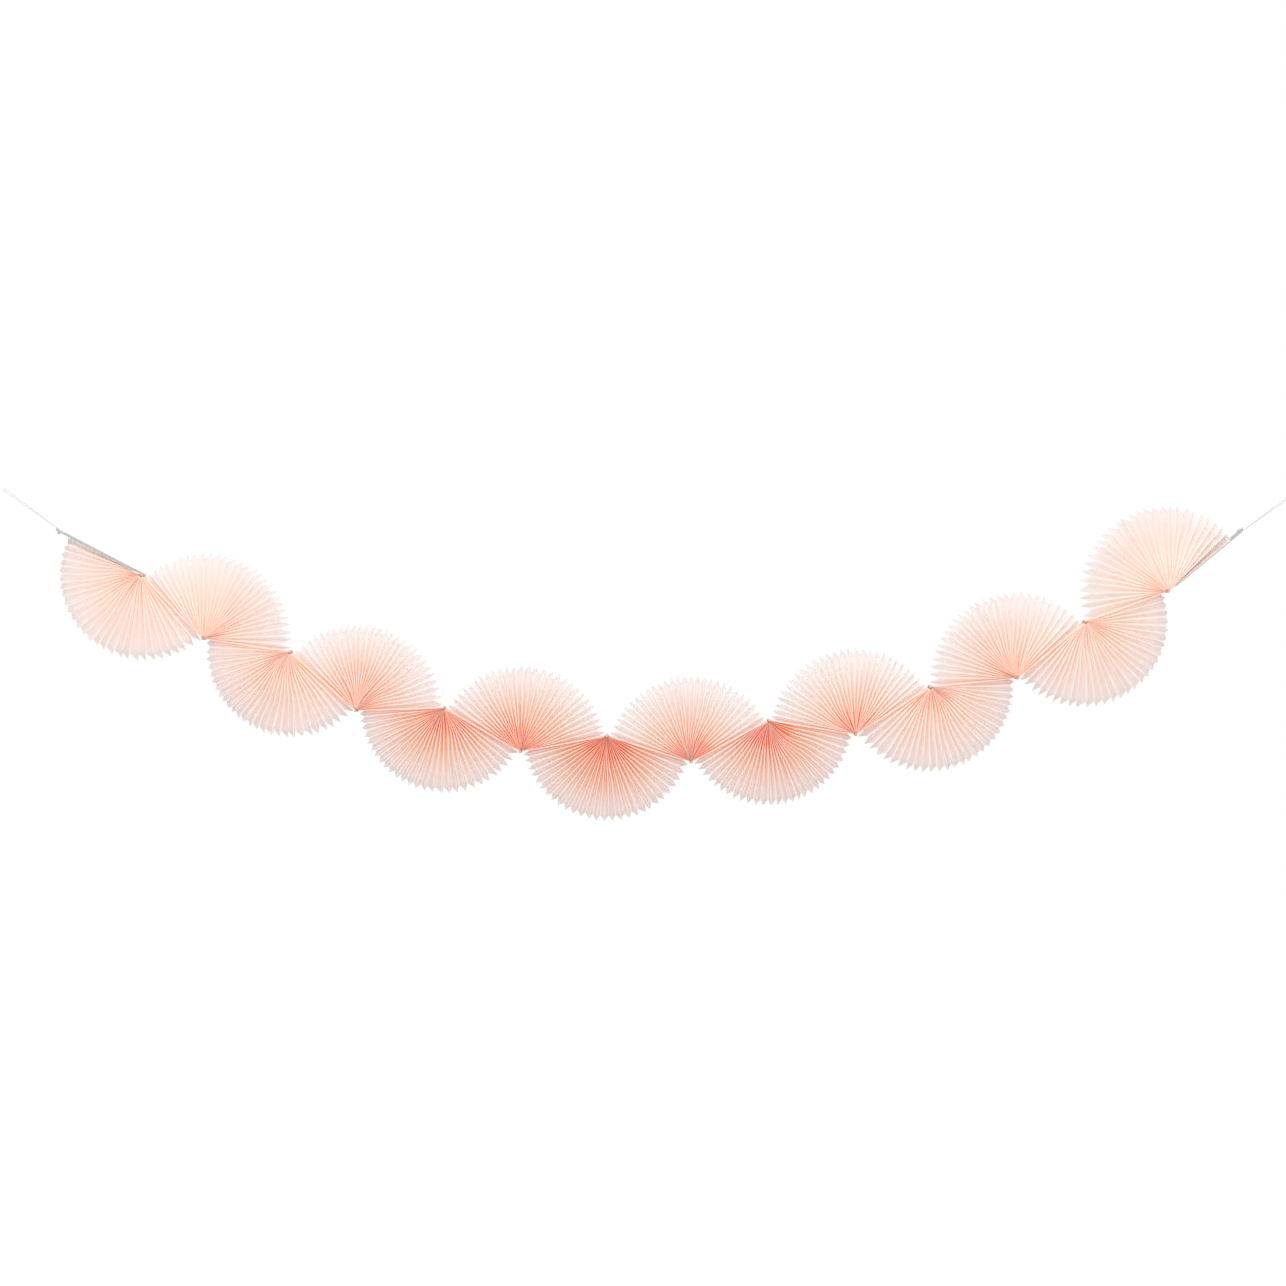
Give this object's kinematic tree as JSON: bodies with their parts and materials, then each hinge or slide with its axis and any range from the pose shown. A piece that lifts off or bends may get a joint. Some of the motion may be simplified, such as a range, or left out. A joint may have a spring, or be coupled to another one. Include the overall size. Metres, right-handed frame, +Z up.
{
  "type": "paper fan garland",
  "caption": "Pleated tissue paper half fans glued in one zigzag that hangs between two cord loops and folds flat like an accordion between stiff end cards.",
  "frame": {"origin": "middle of the eye of the left hanging loop, where the nail goes", "axes": "+X runs along the garland from the left loop to the right loop, +Y is the depth of the pleats, away from the viewer, +Z is up"},
  "size_m": [1.8705, 0.0252, 0.4817],
  "materials": {
    "tissue": "matte",
    "glue": "satin",
    "chipboard": "matte",
    "cord": "matte"
  },
  "bodies": {
    "left_end": {"left_end_card": "chipboard", "left_end_leaf": "tissue", "left_hanging_loop": "cord", "left_loop_knot": "cord", "glue_bead_01": "glue", "fan_01": "tissue"},
    "link_01": {"shared_leaf_01_02": "tissue", "glue_bead_02": "glue", "fan_02": "tissue"},
    "link_02": {"shared_leaf_02_03": "tissue", "glue_bead_03": "glue", "fan_03": "tissue"},
    "link_03": {"shared_leaf_03_04": "tissue", "glue_bead_04": "glue", "fan_04": "tissue"},
    "link_04": {"shared_leaf_04_05": "tissue", "glue_bead_05": "glue", "fan_05": "tissue"},
    "link_05": {"shared_leaf_05_06": "tissue", "glue_bead_06": "glue", "fan_06": "tissue"},
    "link_06": {"shared_leaf_06_07": "tissue", "glue_bead_07": "glue", "fan_07": "tissue"},
    "link_07": {"shared_leaf_07_08": "tissue", "glue_bead_08": "glue", "fan_08": "tissue"},
    "link_08": {"shared_leaf_08_09": "tissue", "glue_bead_09": "glue", "fan_09": "tissue"},
    "link_09": {"shared_leaf_09_10": "tissue", "glue_bead_10": "glue", "fan_10": "tissue"},
    "link_10": {"shared_leaf_10_11": "tissue", "glue_bead_11": "glue", "fan_11": "tissue"},
    "link_11": {"shared_leaf_11_12": "tissue", "glue_bead_12": "glue", "fan_12": "tissue"},
    "link_12": {"shared_leaf_12_13": "tissue", "glue_bead_13": "glue", "fan_13": "tissue"},
    "link_13": {"shared_leaf_13_14": "tissue", "glue_bead_14": "glue", "fan_14": "tissue"},
    "right_end": {"right_end_card": "chipboard", "right_end_leaf": "tissue", "right_hanging_loop": "cord", "right_loop_knot": "cord"}
  },
  "joints": [
    {"name": "fan_01_opening", "type": "hinge", "parent": "left_end", "child": "link_01", "pos_m": [0.19928, 0, -0.12293], "axis": [0, -1, 0], "range_deg": [-153.43, 12.92], "deforming": ["fan_01"]},
    {"name": "fan_02_opening", "type": "hinge", "parent": "link_01", "child": "link_02", "pos_m": [0.2875, 0, -0.21428], "axis": [0, 1, 0], "range_deg": [-135.85, 11.44], "deforming": ["fan_02"]},
    {"name": "fan_03_opening", "type": "hinge", "parent": "link_02", "child": "link_03", "pos_m": [0.41294, 0, -0.23415], "axis": [0, -1, 0], "range_deg": [-140.12, 11.8], "deforming": ["fan_03"]},
    {"name": "fan_04_opening", "type": "hinge", "parent": "link_03", "child": "link_04", "pos_m": [0.50806, 0, -0.3183], "axis": [0, 1, 0], "range_deg": [-130.15, 10.96], "deforming": ["fan_04"]},
    {"name": "fan_05_opening", "type": "hinge", "parent": "link_04", "child": "link_05", "pos_m": [0.63501, 0, -0.31498], "axis": [0, -1, 0], "range_deg": [-141.55, 11.92], "deforming": ["fan_05"]},
    {"name": "fan_06_opening", "type": "hinge", "parent": "link_05", "child": "link_06", "pos_m": [0.74555, 0, -0.37752], "axis": [0, 1, 0], "range_deg": [-133.47, 11.24], "deforming": ["fan_06"]},
    {"name": "fan_07_opening", "type": "hinge", "parent": "link_06", "child": "link_07", "pos_m": [0.87062, 0, -0.35546], "axis": [0, -1, 0], "range_deg": [-145.35, 12.24], "deforming": ["fan_07"]},
    {"name": "fan_08_opening", "type": "hinge", "parent": "link_07", "child": "link_08", "pos_m": [0.99207, 0, -0.3926], "axis": [0, 1, 0], "range_deg": [-128.25, 10.8], "deforming": ["fan_08"]},
    {"name": "fan_09_opening", "type": "hinge", "parent": "link_08", "child": "link_09", "pos_m": [1.1042, 0, -0.33297], "axis": [0, -1, 0], "range_deg": [-135.85, 11.44], "deforming": ["fan_09"]},
    {"name": "fan_10_opening", "type": "hinge", "parent": "link_09", "child": "link_10", "pos_m": [1.22964, 0, -0.35284], "axis": [0, 1, 0], "range_deg": [-131.57, 11.08], "deforming": ["fan_10"]},
    {"name": "fan_11_opening", "type": "hinge", "parent": "link_10", "child": "link_11", "pos_m": [1.33675, 0, -0.2846], "axis": [0, -1, 0], "range_deg": [-145.82, 12.28], "deforming": ["fan_11"]},
    {"name": "fan_12_opening", "type": "hinge", "parent": "link_11", "child": "link_12", "pos_m": [1.46305, 0, -0.27133], "axis": [0, 1, 0], "range_deg": [-139.18, 11.72], "deforming": ["fan_12"]},
    {"name": "fan_13_opening", "type": "hinge", "parent": "link_12", "child": "link_13", "pos_m": [1.56105, 0, -0.19054], "axis": [0, -1, 0], "range_deg": [-152.95, 12.88], "deforming": ["fan_13"]},
    {"name": "fan_14_opening", "type": "hinge", "parent": "link_13", "child": "right_end", "pos_m": [1.68001, 0, -0.14607], "axis": [0, 1, 0], "range_deg": [-152.95, 12.88], "deforming": ["fan_14"]}
  ],
  "couplings": [
    {"joint": "fan_02_opening", "follows": "fan_01_opening", "ratio": 0.88545},
    {"joint": "fan_03_opening", "follows": "fan_01_opening", "ratio": 0.91331},
    {"joint": "fan_04_opening", "follows": "fan_01_opening", "ratio": 0.8483},
    {"joint": "fan_05_opening", "follows": "fan_01_opening", "ratio": 0.9226},
    {"joint": "fan_06_opening", "follows": "fan_01_opening", "ratio": 0.86997},
    {"joint": "fan_07_opening", "follows": "fan_01_opening", "ratio": 0.94737},
    {"joint": "fan_08_opening", "follows": "fan_01_opening", "ratio": 0.83591},
    {"joint": "fan_09_opening", "follows": "fan_01_opening", "ratio": 0.88545},
    {"joint": "fan_10_opening", "follows": "fan_01_opening", "ratio": 0.85759},
    {"joint": "fan_11_opening", "follows": "fan_01_opening", "ratio": 0.95046},
    {"joint": "fan_12_opening", "follows": "fan_01_opening", "ratio": 0.90712},
    {"joint": "fan_13_opening", "follows": "fan_01_opening", "ratio": 0.9969},
    {"joint": "fan_14_opening", "follows": "fan_01_opening", "ratio": 0.9969}
  ]
}
